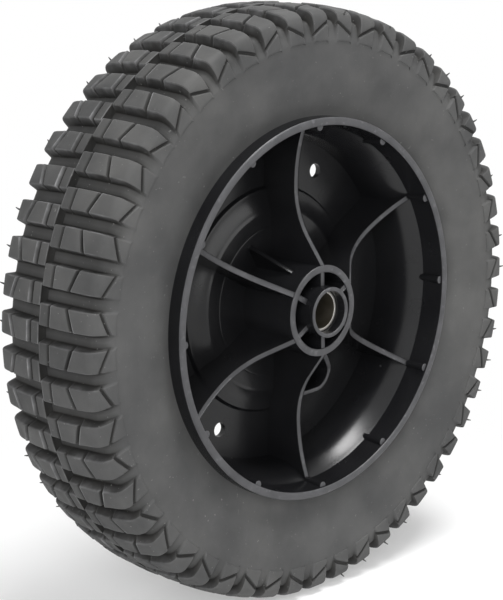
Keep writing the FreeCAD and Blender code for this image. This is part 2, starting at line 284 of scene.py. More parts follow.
def arc_points(first, second, radius, side, count):
    """Points of the shorter arc between two places, its centre to the left (1) or right (-1) of the way."""
    first, second = np.array(first, float), np.array(second, float)
    chord = second - first
    half = np.hypot(*chord) / 2
    normal = np.array([-chord[1], chord[0]]) / (2 * half)
    centre = (first + second) / 2 + normal * side * math.sqrt(max(radius ** 2 - half ** 2, 0))
    start = math.atan2(*(first - centre)[::-1])
    sweep = 2 * math.asin(half / radius) * side
    turns = start + sweep * np.linspace(0, 1, count)
    return [tuple(centre + radius * np.array([math.cos(turn), math.sin(turn)])) for turn in turns]


def level_round(run, rise):
    """Radius of an arc that starts level and rises so far over a run."""
    return (run ** 2 + rise ** 2) / (2 * rise)


def plain(places):
    """Corners of an outline that aren't rounded."""
    return [(*place, 0) for place in places]


def rounded(corners, steps=5):
    """An outline whose corners, given as (x, y, radius), are rounded."""
    points = []
    total = len(corners)
    for index, (x, y, radius) in enumerate(corners):
        here = np.array([x, y])
        before = np.array(corners[index - 1][:2]) - here
        after = np.array(corners[(index + 1) % total][:2]) - here
        if radius == 0:
            points.append((x, y))
            continue
        before /= np.hypot(*before)
        after /= np.hypot(*after)
        half_turn = math.acos(np.clip(before @ after, -1, 1)) / 2
        run = radius / math.tan(half_turn)
        first, second = here + before * run, here + after * run
        side = 1 if before[0] * after[1] - before[1] * after[0] < 0 else -1
        points += arc_points(first, second, radius, side, steps)
    return points


def polar(radius, s, degrees):
    """A place of the wheel in metres."""
    turn = math.radians(degrees)
    return Vector((radius * math.cos(turn), -s, radius * math.sin(turn))) * MM


def outward(mesh):
    """Turns every face of a closed mesh to look outward."""
    work = bmesh.new()
    work.from_mesh(mesh)
    if work.calc_volume(signed=True) < 0:
        bmesh.ops.reverse_faces(work, faces=work.faces)
    work.to_mesh(mesh)
    work.free()


def finish_mesh(piece, sharp):
    """Smooth shading, apart from edges that turn by more than the sharp angle."""
    piece.data.shade_smooth()
    piece.data.set_sharp_from_angle(angle=math.radians(sharp))


def new_piece(name, vertices, faces, materials, sharp=SHARP):
    """A mesh piece of the object, with the given materials."""
    mesh = bpy.data.meshes.new(name)
    mesh.from_pydata(vertices, [], faces)
    outward(mesh)
    piece = bpy.data.objects.new(name, mesh)
    bpy.context.scene.collection.objects.link(piece)
    for material in materials:
        mesh.materials.append(material)
    finish_mesh(piece, sharp)
    return piece


def grid_faces(columns, rows):
    """Quads of a grid of vertices that closes on itself both ways."""
    column = np.arange(columns)[:, None]
    row = np.arange(rows)[None, :]
    beside = (column + 1) % columns
    above = (row + 1) % rows
    quads = [column * rows + row, beside * rows + row, beside * rows + above, column * rows + above]
    return np.stack(quads, axis=-1).reshape(-1, 4).tolist()


def lathe(name, outline, segments, materials):
    """Turns a closed outline of (radius, s) around the axle."""
    turns = np.linspace(0, 2 * math.pi, segments, endpoint=False)[:, None]
    radius, s = np.array(outline).T
    places = np.stack([np.cos(turns) * radius, -s + 0 * turns, np.sin(turns) * radius], axis=-1)
    vertices = (places.reshape(-1, 3) * MM).tolist()
    return new_piece(name, vertices, grid_faces(segments, len(outline)), materials)


def bake(piece):
    """Applies the piece's modifiers."""
    bpy.context.view_layer.update()
    graph = bpy.context.evaluated_depsgraph_get()
    mesh = bpy.data.meshes.new_from_object(piece.evaluated_get(graph))
    piece.modifiers.clear()
    piece.data = mesh


def paint_edges(piece, above=-math.inf):
    """Gives the second, paler finish, which carries painted highlight, to faces above a height that look to
    the ribbed side.
    """
    for face in piece.data.polygons:
        if -face.normal.y > FACING and -face.center.y / MM > above:
            face.material_index = 1


def soften(piece, width):
    """Rounds the sharp edges of a piece and gives the second, paler finish, which carries painted highlight,
    to its ribbed side.
    """
    bevel = piece.modifiers.new("edges", "BEVEL")
    bevel.width = width * MM
    bevel.segments = EDGE_STEPS
    bevel.limit_method = "ANGLE"
    bevel.angle_limit = math.radians(PLATE_SHARP)
    bake(piece)
    finish_mesh(piece, PLATE_SHARP)
    paint_edges(piece)


# Materials

def new_material(name, **sockets):
    """A material whose shader sockets hold the given constants."""
    material = bpy.data.materials.new(name)
    material.use_nodes = True
    shader = material.node_tree.nodes["Principled BSDF"]
    for socket, constant in sockets.items():
        shader.inputs[socket.replace("_", " ")].default_value = constant
    return material, material.node_tree, shader


def noise(tree, scale, detail, stretch=(1, 1, 1)):
    """Noise fixed to the object, with so many features in a metre."""
    place = tree.nodes.new("ShaderNodeTexCoord")
    mapping = tree.nodes.new("ShaderNodeMapping")
    mapping.inputs["Scale"].default_value = stretch
    texture = tree.nodes.new("ShaderNodeTexNoise")
    texture.inputs["Scale"].default_value = scale
    texture.inputs["Detail"].default_value = detail
    tree.links.new(place.outputs["Object"], mapping.inputs["Vector"])
    tree.links.new(mapping.outputs["Vector"], texture.inputs["Vector"])
    return texture.outputs["Fac"]


def ramp(tree, source, colours, low=0.3, high=0.7):
    """Two colours, or grey levels: the first where the source is under low, the second over high."""
    node = tree.nodes.new("ShaderNodeValToRGB")
    for stop, position, colour in zip(node.color_ramp.elements, (low, high), colours):
        stop.position = position
        stop.color = (*colour, 1) if isinstance(colour, tuple) else (colour, colour, colour, 1)
    tree.links.new(source, node.inputs["Fac"])
    return node.outputs["Color"]


def blotches(tree, colours, scale, detail, stretch=(1, 1, 1), **stops):
    """Two colours, or grey levels, spread by noise."""
    return ramp(tree, noise(tree, scale, detail, stretch), colours, **stops)


def mix(tree, factor, first, second, mode="MIX"):
    """Mixes two colours by a factor, which is a source or a constant."""
    node = tree.nodes.new("ShaderNodeMix")
    node.data_type = "RGBA"
    node.blend_type = mode
    sockets = {item.identifier: item for item in [*node.inputs, *node.outputs]}
    if isinstance(factor, float):
        sockets["Factor_Float"].default_value = factor
    else:
        tree.links.new(factor, sockets["Factor_Float"])
    tree.links.new(first, sockets["A_Color"])
    tree.links.new(second, sockets["B_Color"])
    return sockets["Result_Color"]


def combine(tree, operation, first, second):
    """Joins two sources by an operation of the Math node."""
    node = tree.nodes.new("ShaderNodeMath")
    node.operation = operation
    tree.links.new(first, node.inputs[0])
    tree.links.new(second, node.inputs[1])
    return node.outputs[0]


def bump(tree, shader, *layers):
    """Stacks bump layers, each (height source, strength, depth in millimetres)."""
    normal = None
    for height, strength, depth in layers:
        node = tree.nodes.new("ShaderNodeBump")
        node.inputs["Strength"].default_value = strength
        node.inputs["Distance"].default_value = depth * MM
        tree.links.new(height, node.inputs["Height"])
        if normal:
            tree.links.new(normal, node.inputs["Normal"])
        normal = node.outputs["Normal"]
    tree.links.new(normal, shader.inputs["Normal"])


def painted(tree, word):
    """A share from 0 to 1 that is stored on the mesh."""
    node = tree.nodes.new("ShaderNodeAttribute")
    node.attribute_name = word
    return node.outputs["Fac"]


def make_rubber():
    """Dull rubber with painted shade in the grooves, painted highlights along the edges and specks of dust.
    """
    material, tree, shader = new_material("tyre_rubber", Specular_IOR_Level=0.18)
    mottle = blotches(tree, RUBBER, scale=55, detail=8, low=0.34, high=0.66)
    tint = blotches(tree, RUBBER_TINT, scale=17, detail=5, low=0.35, high=0.65)
    tone = mix(tree, 1.0, mottle, tint, "MULTIPLY")
    # Painted shade in the grooves, on the flanks and notches and at the middle, where the mesh's 'groove'
    # share is high
    painted_shade_tone = blotches(tree, PAINTED_GROOVE_SHADE, scale=120, detail=5, low=0.35)
    painted_shade_share = ramp(tree, painted(tree, "groove"), (0.0, 0.95), low=0.2, high=1.0)
    tone = mix(tree, painted_shade_share, tone, painted_shade_tone)
    # Painted highlights along the edges of the bars and notches
    scuff_and_glint = blotches(tree, RUBBER_GLINT, scale=260, detail=4, high=0.75)
    patchy = blotches(tree, (0.1, 1.0), scale=140, detail=5, low=0.36, high=0.66)
    tone = mix(tree, combine(tree, "MULTIPLY", painted(tree, "painted_glint"), patchy), tone, scuff_and_glint)
    specks = blotches(tree, (0.0, 1.0), scale=900, detail=2, low=0.7, high=0.78)
    dust = blotches(tree, RUBBER_DUST, scale=300, detail=3)
    tree.links.new(mix(tree, specks, tone, dust), shader.inputs["Base Color"])
    rough = blotches(tree, (0.52, 0.72), scale=140, detail=5)
    tree.links.new(rough, shader.inputs["Roughness"])
    bump(tree, shader, (noise(tree, 2600, 3), 0.4, 0.06), (noise(tree, 260, 5), 0.4, 0.15))
    return material


def make_gloss():
    """Glossy black plastic with a little dust."""
    material, tree, shader = new_material("rim_gloss", Specular_IOR_Level=0.34)
    tone = blotches(tree, GLOSS, scale=45, detail=5)
    specks = blotches(tree, (0.0, 1.0), scale=700, detail=2, low=0.76, high=0.8)
    dust = blotches(tree, GLOSS_DUST, scale=200, detail=2)
    tree.links.new(mix(tree, specks, tone, dust), shader.inputs["Base Color"])
    rough = blotches(tree, (0.2, 0.28), scale=80, detail=6)
    tree.links.new(rough, shader.inputs["Roughness"])
    bump(tree, shader, (noise(tree, 70, 3), 0.08, 0.2), (noise(tree, 1400, 2), 0.1, 0.02))
    return material


def make_edge():
    """The tops of the ribs and rings, which are duller than the walls and paler, the paleness being painted
    highlight.
    """
    material, tree, shader = new_material("rim_edge", Specular_IOR_Level=0.45)
    tone = blotches(tree, DULL_AND_SHEEN, scale=160, detail=6)
    scuffed = blotches(tree, (0.0, 1.0), scale=500, detail=4, stretch=(1, 0.2, 1), low=0.6, high=0.74)
    scuff_and_glint = blotches(tree, DULL_SCUFF, scale=90, detail=3)
    tree.links.new(mix(tree, scuffed, tone, scuff_and_glint), shader.inputs["Base Color"])
    rough = blotches(tree, (0.36, 0.5), scale=220, detail=5)
    tree.links.new(rough, shader.inputs["Roughness"])
    bump(tree, shader, (noise(tree, 900, 3), 0.2, 0.04))
    return material


def make_steel(name, colours):
    """Steel with fine marks drawn along the axle."""
    material, tree, shader = new_material(name, Metallic=0.8)
    tone = blotches(tree, colours, scale=180, detail=5, high=0.65)
    tree.links.new(tone, shader.inputs["Base Color"])
    drawn = noise(tree, 600, 3, (1, 0.05, 1))
    tree.links.new(ramp(tree, drawn, (0.42, 0.54)), shader.inputs["Roughness"])
    bump(tree, shader, (drawn, 0.1, 0.01))
    return material


def make_floor():
    """A nearly white floor with faint blotches."""
    material, tree, shader = new_material("studio_floor", Roughness=0.75, Specular_IOR_Level=0.2)
    tone = blotches(tree, FLOOR_GREY, scale=12, detail=4)
    tree.links.new(tone, shader.inputs["Base Color"])
    whiten(tree, shader)
    return material


def shown_ray(tree):
    """1 for rays that see the background: from the camera, or through a reflection or clear material."""
    path = tree.nodes.new("ShaderNodeLightPath")
    total = path.outputs["Is Camera Ray"]
    for ray in ("Is Glossy Ray", "Is Transmission Ray"):
        total = combine(tree, "MAXIMUM", total, path.outputs[ray])
    return total


def whiten(tree, shader):
    """The floor turns to the white of the background away from the wheel."""
    place = tree.nodes.new("ShaderNodeTexCoord")
    reach = tree.nodes.new("ShaderNodeVectorMath")
    reach.operation = "LENGTH"
    fade = tree.nodes.new("ShaderNodeMapRange")
    fade.interpolation_type = "SMOOTHSTEP"
    fade.inputs["From Min"].default_value = FLOOR_PLAIN
    fade.inputs["From Max"].default_value = FLOOR_WHITE
    fade.inputs["To Min"].default_value = FLOOR_PALE
    white = tree.nodes.new("ShaderNodeEmission")
    blend = tree.nodes.new("ShaderNodeMixShader")
    tree.links.new(place.outputs["Object"], reach.inputs[0])
    tree.links.new(reach.outputs["Value"], fade.inputs["Value"])
    tree.links.new(combine(tree, "MULTIPLY", fade.outputs[0], shown_ray(tree)), blend.inputs[0])
    tree.links.new(shader.outputs[0], blend.inputs[1])
    tree.links.new(white.outputs[0], blend.inputs[2])
    tree.links.new(blend.outputs[0], tree.nodes["Material Output"].inputs["Surface"])


# Tyre

def by_length(points):
    """A curve through the points, as a function of the share of its length, and that length."""
    points = np.array(points)
    steps = np.hypot(*np.diff(points, axis=0).T)
    reach = np.concatenate([[0], np.cumsum(steps)])

    def place(share):
        return np.stack([np.interp(share * reach[-1], reach, line) for line in points.T], axis=-1)

    return place, reach[-1]


def tread_curves():
    """Outer skin of the bars and floor of the grooves, both from the middle of the tread to the foot."""
    crown_end = (TREAD_HALF, TYRE_R - CROWN_DROP)
    crown_round = level_round(TREAD_HALF - CROWN_FLAT_HALF, CROWN_DROP)
    crown = arc_points((CROWN_FLAT_HALF, TYRE_R), crown_end, crown_round, side=-1, count=24)
    turn_start = (*crown[-SHOULDER_TRIM], 0)
    shoulder = rounded([turn_start, (*crown_end, SHOULDER_ROUND), (TYRE_HALF, FOOT_R, 0)], steps=9)
    skin = [(0, TYRE_R)] + crown[:-SHOULDER_TRIM] + shoulder
    middle = (0, TYRE_R - GROOVE_DEPTH, 0)
    corner = (TREAD_HALF - GROOVE_TURN_IN, TYRE_R - GROOVE_DEPTH - GROOVE_FALL, GROOVE_ROUND)
    foot = (TYRE_HALF - FOOT_STEP, FOOT_R, GROOVE_BLEND)
    lead = (foot[0], FOOT_R - GROOVE_LEAD, 0)
    floor = rounded([middle, corner, foot, lead], steps=9)
    return by_length(skin), by_length(floor[:-1])


def notch_rows(place, depth, half, side, before, slant, painted_glint):
    """A rounded notch across a bar. Its far edge stands a little proud and carries a painted highlight."""
    return [
        (place - half - side, before, slant, 0),
        (place - half, before + NOTCH_NEAR_DROP, slant, 0),
        (place - half + side, NOTCH_FLOOR * depth, slant, 0),
        (place, depth, slant, 0),
        (place + half - side, NOTCH_FLOOR * depth, slant, 0),
        (place + half, NOTCH_FAR_DROP, slant, EDGE_GLINT * painted_glint),
        (place + half + side / 2, 0, slant, painted_glint),
        (place + half + NOTCH_LANDING * side, 0, slant, 0),
    ]


def tread_rows(length):
    """Rows of the tread: place along the skin, how deep it is sunk there, share of the slant, painted
    highlight of the edge.
    """
    rows = [(0, BLOCK_DROP + INNER_DROP, 0, 0), (INNER_EDGE, INNER_DROP, 0, INNER_GLINT)]
    rows += [(place, INNER_DROP, slant, 0) for place, slant in INNER_ROWS]
    rows += notch_rows(INNER_NOTCH, NOTCH_DEPTH, NOTCH_HALF, NOTCH_SIDE, INNER_DROP, 0, 1)
    rows += [(place, BLOCK_DROP, slant, 0) for place, slant in MIDDLE_ROWS]
    rows += notch_rows(OUTER_NOTCH, NOTCH_DEPTH, NOTCH_HALF, NOTCH_SIDE, BLOCK_DROP, 1, 1)
    rows += [(place, BLOCK_DROP, slant, 0) for place, slant in OUTER_ROWS]
    rows += [(place, 0, slant, 0) for place, slant in SHOULDER_ROWS]
    foot_notch = length - FOOT_NOTCH_UP
    rows += notch_rows(foot_notch, FOOT_NOTCH_DEPTH, FOOT_NOTCH_HALF, FOOT_NOTCH_SIDE, 0, 1, 0)
    rows += [(length - up, 0, slant, 0) for up, slant in FOOT_ROWS]
    rows += [(length, FOOT_DROP, 0, 0)]
    return np.array(rows)


def bar_columns():
    """Angles across one pitch, each with the share of the groove's depth there."""
    top = [(-BAR_TOP_HALF / 2, 0), (0, 0), (BAR_TOP_HALF / 2, 0)]
    flank = [(BAR_TOP_HALF - EDGE_ROUND, 0.0), (BAR_TOP_HALF - EDGE_ROUND / 3, 0.025), (BAR_TOP_HALF, 0.08),
             (BAR_TOP_HALF + EDGE_ROUND / 4, 0.18), (BAR_FOOT_HALF - EDGE_ROUND / 3, 0.86),
             (BAR_FOOT_HALF, 0.96), (BAR_FOOT_HALF + EDGE_ROUND, 1.0)]
    other_flank = [(-angle, depth) for angle, depth in flank[::-1]]
    return np.array(other_flank + top + flank + [(HALF_PITCH, 1.0)])


def edge_glint(angle, depth, place, sunk, row_glint):
    """How much painted highlight each place of a bar gets: along its long edges and at the edges of its
    notches.
    """
    edge = [BAR_TOP_HALF - EDGE_ROUND, BAR_TOP_HALF, BAR_TOP_HALF + EDGE_ROUND]
    long_edges = np.interp(np.abs(angle), edge, [0, EDGE_GLINT, 0])[:, None]
    long_edges = long_edges * np.interp(place, GLINT_FADE, [1, SHOULDER_GLINT])
    return np.maximum(long_edges * (1 - sunk / NOTCH_DEPTH), row_glint * (1 - depth))


def groove_shade(angle, depth, place, sunk, length):
    """How much painted shade each place gets: on the flanks, in the grooves and notches and at the middle."""
    flank_top = [BAR_TOP_HALF, BAR_TOP_HALF + EDGE_ROUND / 4]
    flank_foot = [BAR_FOOT_HALF, BAR_FOOT_HALF + EDGE_ROUND]
    across = [*flank_top, *flank_foot, HALF_PITCH]
    fade = np.interp(place, [length - up for up in SHADE_FADE], [1, 0])
    flank = np.interp(np.abs(angle), across, FLANK_SHADE)[:, None] * fade
    shade = np.maximum(flank, np.minimum(NOTCH_SHADE * sunk / NOTCH_DEPTH, 1) * (1 - depth))
    # Painted shade on the wall at the middle of the tread
    shade[:, 0] = 1
    return shade


def tread_half(phase, near):
    """Half of the tread as columns around the axle: places (s, radius), angles, painted shade, painted
    highlight of the edges.
    """
    (skin, length), (floor, _) = tread_curves()
    place, sunk, slant_share, row_glint = tread_rows(length).T
    angle, depth = bar_columns().T
    slant = np.interp(np.abs(angle), [0, BAR_TOP_HALF, HALF_PITCH], [0, 1, 0]) * np.sign(angle)
    depth = depth[:, None]
    reach = np.where(place > TREAD_HALF, FOOT_NOTCH_SLANT, NOTCH_SLANT) * slant_share
    columns, turns = [], []
    for bar in range(BAR_COUNT):
        lean = (1 if bar % 2 else -1) * (1 if near else -1)
        share = np.clip((place[None, :] + lean * slant[:, None] * reach[None, :]) / length, 0, 1)
        ahead = skin(np.clip(share + SKIN_STEP, 0, 1)) - skin(np.clip(share - SKIN_STEP, 0, 1))
        inward = np.stack([ahead[..., 1], -ahead[..., 0]], axis=-1)
        inward /= np.linalg.norm(ahead, axis=-1, keepdims=True)
        top = skin(share) + inward * sunk[None, :, None]
        columns.append(top * (1 - depth[..., None]) + floor(share) * depth[..., None])
        turns.append(phase + bar * 360 / BAR_COUNT + angle)
    shade = groove_shade(angle, depth, place, sunk, length)
    painted_glint = edge_glint(angle, depth, place, sunk, row_glint)
    spread = [np.tile(part, (BAR_COUNT, 1)) for part in (shade, painted_glint)]
    return np.concatenate(columns), np.radians(np.concatenate(turns)), *spread


def carcass_rows():
    """Sidewall, bead and hollow of half the tyre, from the foot of the bars to the middle."""
    start = (TYRE_HALF - FOOT_STEP, FOOT_R - FOOT_STEP / 2)
    bulge = level_round(start[1] - BEAD_R, start[0] - BEAD_HALF)
    side = arc_points(start, (BEAD_HALF, BEAD_R), bulge, side=-1, count=12)
    bead = plain([(BEAD_HALF, SEAT_R), (BEAD_HALF - BEAD_WIDTH, SEAT_R), (CAVITY_HALF, CAVITY_LEAD_R)])
    hollow = rounded(bead + [(CAVITY_HALF, CAVITY_R, CAVITY_ROUND), (0, CAVITY_R, 0)], steps=4)
    return np.array(side + hollow)


def make_tyre(rubber):
    """The two halves of the tyre, whose bars are staggered."""
    for name, phase, near in (("tyre_near_half", NEAR_PHASE, True),
                              ("tyre_far_half", NEAR_PHASE + HALF_PITCH, False)):
        tread, turns, shade, painted_glint = tread_half(phase, near)
        carcass = np.broadcast_to(carcass_rows(), (len(tread), len(carcass_rows()), 2))
        s, radius = np.moveaxis(np.concatenate([tread, carcass], axis=1), -1, 0)
        y = -s if near else s
        places = np.stack([radius * np.cos(turns)[:, None], y, radius * np.sin(turns)[:, None]], axis=-1)
        vertices = (places.reshape(-1, 3) * MM).tolist()
        half = new_piece(name, vertices, grid_faces(*s.shape), [rubber])
        # The 'groove' share on the mesh holds painted shade, the other one painted highlights
        for word, part in (("groove", shade), ("painted_glint", painted_glint)):
            spread = np.zeros(s.shape, np.float32)
            spread[:, :part.shape[1]] = part
            half.data.attributes.new(word, "FLOAT", "POINT").data.foreach_set("value", spread.ravel())
        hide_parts("tyre")
        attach(half, "root")


def make_nibs(rubber):
    """Tapered nibs on the shoulders of the bars. Half of the ribbed side has none left."""
    (skin, length), _ = tread_curves()
    share = NIB_PLACE / length
    foot = skin(share)
    ahead = skin(share + NIB_SKIN_STEP) - skin(share - NIB_SKIN_STEP)
    ahead /= np.linalg.norm(ahead)
    away = np.array([-ahead[1], ahead[0]])
    corners = np.radians(np.arange(NIB_SIDES) * 360 / NIB_SIDES)
    vertices, faces = [], []
    for bar in range(2 * BAR_COUNT):
        height = NIB_LENGTHS[bar % len(NIB_LENGTHS)]
        side = -1 if bar % 2 else 1
        degrees = NEAR_PHASE + bar * HALF_PITCH
        worn_off = side > 0 and math.cos(math.radians(degrees)) < 0
        if worn_off or not height:
            continue
        rings = []
        # Widths are shares of the nib's radius
        for reach, width, lean in ((-NIB_ROOT, 1.2, 0), (0.2 * height, 0.9, 0), (height, 0.4, NIB_LEAN)):
            rings.append(range(len(vertices), len(vertices) + NIB_SIDES))
            for corner in corners:
                s, radius = foot + away * reach + ahead * NIB_R * width * math.sin(corner)
                along = lean + NIB_R * width * math.cos(corner)
                vertices.append(polar(radius, side * s, degrees + math.degrees(side * along / radius)))
        for low, high in zip(rings, rings[1:]):
            for index in range(NIB_SIDES):
                faces.append([low[index - 1], low[index], high[index], high[index - 1]])
        faces += [list(rings[0])[::-1], list(rings[-1])]
    nibs = new_piece("vent_nibs", vertices, faces, [rubber], NIB_SHARP)
    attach(nibs, "root")


# Rim

def brow_arc():
    """The rounded rise from the step to the plateau, without its ends."""
    low = (STEP_R - STEP_RUN, FLOOR_S + STEP_RISE)
    return arc_points(low, (PLATEAU_R, PLATEAU_S), PLATEAU_ROUND, side=-1, count=8)[1:-1]


def dish_front():
    """Corners of the ribbed side, from the ledge inside the lip to the foot of the hub ring."""
    ledge = (LIP_R - LIP_WALL - BARREL_DRAFT, LEDGE_S)
    flare = arc_points(ledge, FLARE_END, FLARE_ROUND, side=1, count=7)[1:-1]
    neck = arc_points(FLARE_END, NECK_END, NECK_ROUND, side=1, count=9)
    root_r, root_s = ROOT_R + ROOT_RISE / 2, PLATEAU_S + ROOT_RISE
    return [
        (*ledge, FINE_EDGE),
        *plain([*flare, *neck, (FLOOR_R, FLOOR_S), (FLOOR_R - HOLD, FLOOR_S)]),
        *plain([(STEP_R + HOLD, FLOOR_S), (STEP_R, FLOOR_S)]),
        (STEP_R - STEP_RUN, FLOOR_S + STEP_RISE, STEP_EDGE),
        *plain([*brow_arc(), (PLATEAU_R, PLATEAU_S), (PLATEAU_R - HOLD, PLATEAU_S)]),
        *plain([(root_r + HOLD, PLATEAU_S), (root_r, PLATEAU_S)]),
        (ROOT_R, root_s, FINE_EDGE),
        *plain([(ROOT_R - 2 * HOLD, root_s), (RING_R, root_s)]),
    ]


def hub_section():
    """Corners of the hub ring, the tube, its bore and the boss behind the disc."""
    ring_inside = RING_R - RING_WALL
    return [
        (RING_R, RING_S, RING_EDGE), (ring_inside, RING_S, RING_EDGE), (ring_inside, PLATEAU_S, STEP_EDGE),
        (TUBE_R, PLATEAU_S, STEP_EDGE), (TUBE_R, HUB_HALF, TUBE_EDGE),
        (BORE_R, HUB_HALF, RING_EDGE), (BORE_R, -HUB_HALF, RING_EDGE),
        (BOSS_R, -HUB_HALF, INSIDE_EDGE), (BOSS_R + BOSS_FLARE, PLATEAU_S - DISC_WALL, BACK_EDGE),
    ]


def dish_back():
    """Corners of the plain side, from the boss to the far lip."""
    back = FLOOR_S - DISC_WALL
    inner_lip = LIP_R - LIP_WALL
    brow = [(radius, s - DISC_WALL) for radius, s in brow_arc()[::-1]]
    return [
        (PLATEAU_R, PLATEAU_S - DISC_WALL, BACK_EDGE), *plain(brow),
        (STEP_R - STEP_RUN, back + STEP_RISE, RING_EDGE), (STEP_R, back, STEP_EDGE),
        (inner_lip - OUTER_DRAFT, back, BACK_EDGE), (inner_lip, -LIP_HALF, INSIDE_EDGE),
        (LIP_R, -LIP_HALF, LIP_EDGE),
    ]


def rim_outline():
    """Half section of the rim with rounded edges, as (radius, s)."""
    lip = [(LIP_R, LIP_HALF, LIP_EDGE), (LIP_R - LIP_WALL, LIP_HALF, INSIDE_EDGE)]
    seat_r, seat_half = LIP_R - SEAT_DROP, LIP_HALF - FLANGE
    seat = plain([(LIP_R, -seat_half), (seat_r, -seat_half), (seat_r, seat_half), (LIP_R, seat_half)])
    return rounded(lip + dish_front() + hub_section() + dish_back() + seat)


def cut_holes(piece):
    """The two through holes of the disc."""
    cutters = []
    for index in range(2):
        bpy.ops.mesh.primitive_cylinder_add(vertices=HOLE_STEPS, radius=HOLE_R * MM, depth=4 * DISC_WALL * MM)
        cutter = bpy.context.object
        cutter.rotation_euler.x = math.pi / 2
        cutter.location = polar(HOLE_CIRCLE_R, FLOOR_S - DISC_WALL / 2, RIM_TURN + HOLE_PHASE + 180 * index)
        modifier = piece.modifiers.new("hole", "BOOLEAN")
        modifier.object = cutter
        cutters.append(cutter)
    bake(piece)
    for cutter in cutters:
        bpy.data.objects.remove(cutter)


def plate(name, outline, thickness, degrees, materials):
    """A flat plate in a radial plane with softly rounded edges, from an outline of (radius, s)."""
    turn = math.radians(degrees)
    aside = Vector((-math.sin(turn), 0, math.cos(turn))) * thickness / 2 * MM
    rims = [[polar(radius, s, degrees) + aside * side for radius, s in outline] for side in (1, -1)]
    total = len(outline)
    faces = [list(range(total)), list(range(2 * total))[:total - 1:-1]]
    for index in range(total):
        after = (index + 1) % total
        faces.append([index, after, after + total, index + total])
    piece = new_piece(name, rims[0] + rims[1], faces, materials)
    soften(piece, PLATE_EDGE)
    return piece


def rib_round():
    """Radius of the ribs' tops between the knee and the lowest place."""
    return level_round(RIB_LOW[0] - RIB_KNEE[0], RIB_KNEE[1] - RIB_LOW[1])


def rib_outline():
    """A rib with its web inside the hub ring. The foot runs inside the wall of the disc."""
    ledge = (LIP_R - LIP_WALL - BARREL_DRAFT, LEDGE_S)
    fall = arc_points(RIB_KNEE, RIB_LOW, rib_round(), side=1, count=12)
    climb_round = level_round(ledge[0] - RIB_LOW[0], ledge[1] - RIB_LOW[1])
    climb = arc_points(RIB_LOW, ledge, climb_round, side=1, count=14)
    wall = DISC_WALL / 2
    tube = (TUBE_R + BORE_R) / 2
    return [(tube, RIB_ROOT_S), (RING_R, RIB_ROOT_S)] + fall + climb[1:] + [
        (ledge[0] + RIB_SINK, LEDGE_S), (FLOOR_R + RIB_SINK, FLOOR_S - wall),
        (STEP_R - STEP_RUN / 2, FLOOR_S - wall), (PLATEAU_R, PLATEAU_S - wall), (tube, PLATEAU_S - wall)]


def make_ribs(materials):
    """The curved ribs, and the small gusset fin between two of them."""
    pieces = []
    for index in range(RIB_COUNT):
        degrees = RIM_TURN + (index + 0.5) * 360 / RIB_COUNT
        pieces.append(plate(f"rib_{index}", rib_outline(), RIB_THICK, degrees, materials))
    foot = PLATEAU_S - DISC_WALL / 2
    inside = RING_R - RING_WALL / 2
    end = RING_R + FIN_REACH
    fin = [(inside, FIN_S), (RING_R, FIN_S), (end, PLATEAU_S), (end, foot), (inside, foot)]
    gloss_only = materials[:1] * 2
    pieces.append(plate("gusset_fin", fin, WALL_THICK, RIM_TURN + FIN_PHASE, gloss_only))
    return pieces


def rib_top(radius):
    """Height of the ribs' tops at a radius inside their lowest place."""
    if radius < RIB_KNEE[0]:
        return float(np.interp(radius, [RING_R, RIB_KNEE[0]], [RIB_ROOT_S, RIB_KNEE[1]]))
    return RIB_LOW[1] + rib_round() - math.sqrt(rib_round() ** 2 - (RIB_LOW[0] - radius) ** 2)


def loop_path():
    """Middle line of the loop as (along the rib, beside it): an arm, a rounded tip and a wall to the rib."""
    angle = math.radians(LOOP_ANGLE)
    corner = (LOOP_REACH - LOOP_ROOT) * math.tan(angle)
    run = LOOP_ROUND / math.tan((math.pi / 2 - angle) / 2)
    tip = (LOOP_REACH - LOOP_ROUND, corner - run)
    arm_end = (LOOP_REACH - run * math.cos(angle), corner - run * math.sin(angle))
    shares = np.linspace(LOOP_ARM_START, 1, 14)[:, None]
    arm = (LOOP_ROOT, 0) + shares * (np.array(arm_end) - (LOOP_ROOT, 0))
    turns = np.linspace(math.pi / 2 + angle, 0, 26)[1:, None]
    bend = tip + LOOP_ROUND * np.concatenate([np.cos(turns), np.sin(turns)], axis=1)
    wall = (LOOP_REACH, 0) + np.linspace(1, LOOP_WALL_END, 9)[1:, None] * (0, tip[1])
    return np.concatenate([arm, bend, wall])


def make_loop(materials):
    """A wall that leaves the root of one rib, turns round and meets the rib again further out."""
    path = loop_path()
    ahead = np.gradient(path, axis=0)
    aside = np.stack([-ahead[:, 1], ahead[:, 0]], axis=1) / np.linalg.norm(ahead, axis=1)[:, None]
    foot = PLATEAU_S - DISC_WALL / 2
    half, edge, bend = WALL_THICK / 2, LOOP_EDGE, LOOP_EDGE_BEND * LOOP_EDGE
    section = [(half, None), (half, edge), (half - bend, bend), (half - edge, 0),
               (edge - half, 0), (bend - half, bend), (-half, edge), (-half, None)]
    vertices = []
    for place, side in zip(path, aside):
        for reach, drop in section:
            along, beside = place + side * reach
            radius = math.hypot(along, beside)
            s = foot if drop is None else rib_top(radius) - LOOP_DROP - drop
            vertices.append(polar(radius, s, RIM_TURN + LOOP_PHASE + math.degrees(math.atan2(beside, along))))
    rows, steps = len(section), len(path)
    # The quads left out would join the two ends of the path
    faces = [quad for quad in grid_faces(steps, rows) if max(quad) - min(quad) < 3 * rows]
    faces += [list(range(rows)), list(range((steps - 1) * rows, steps * rows))[::-1]]
    piece = new_piece("loop_wall", vertices, faces, materials, LOOP_SHARP)
    # Painted highlight: the loop's top takes the paler finish
    paint_edges(piece)
    return piece


